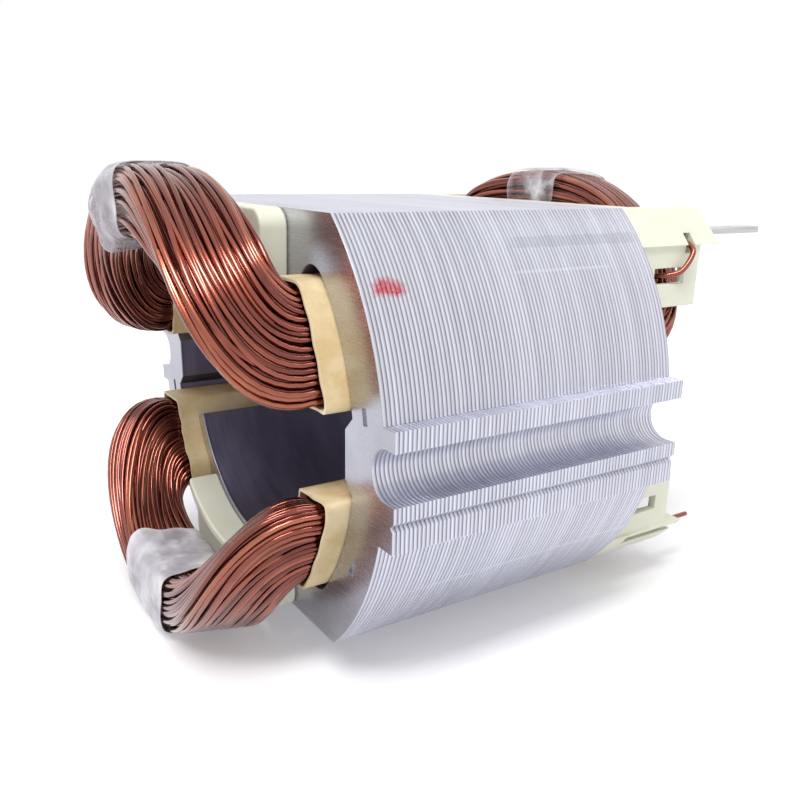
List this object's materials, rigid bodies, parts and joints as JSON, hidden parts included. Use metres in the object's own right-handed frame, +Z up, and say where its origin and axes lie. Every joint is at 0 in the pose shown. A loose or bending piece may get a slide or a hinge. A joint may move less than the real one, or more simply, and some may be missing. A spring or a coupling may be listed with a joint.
{
  "type": "motor stator",
  "caption": "Two-pole motor field stator: a stamped sheet-steel stack with flats, screw grooves and a round rotor bore, wound with enamelled copper coils in paper-lined slots.",
  "frame": {"origin": "on the rotor bore's axis, half way along the sheet stack", "axes": "+X along the rotor bore towards the lead end, +Z up through the middle of the top pole, -Y the near side"},
  "size_m": [0.0812, 0.0678, 0.0564],
  "materials": {
    "sheet_steel": "bright stamped electrical sheet, edges showing as fine lines",
    "enamelled_copper": "glossy red-brown wire enamel over copper",
    "liner_paper": "tan insulating paper, slightly fibrous",
    "insulator_plastic": "pale cream moulded plastic",
    "tape_film": "clear greyish polyester film",
    "tinned_metal": "tin-plated"
  },
  "bodies": {
    "root": {"lamination_stack": "sheet_steel", "top_coil": "enamelled_copper", "bottom_coil": "enamelled_copper", "lead_top_near": "enamelled_copper", "lead_top_far": "enamelled_copper", "lead_bottom_near": "enamelled_copper", "lead_bottom_far": "enamelled_copper", "slot_liner_top_near": "liner_paper", "slot_liner_top_far": "liner_paper", "slot_liner_bottom_near": "liner_paper", "slot_liner_bottom_far": "liner_paper", "front_insulator_top": "insulator_plastic", "front_insulator_bottom": "insulator_plastic", "rear_insulator_top": "insulator_plastic", "rear_insulator_bottom": "insulator_plastic", "front_tape_top": "tape_film", "front_tape_bottom": "tape_film", "rear_tape_top": "tape_film", "rear_tape_bottom": "tape_film", "terminal_tab_near": "tinned_metal", "terminal_tab_far": "tinned_metal"}
  },
  "joints": []
}
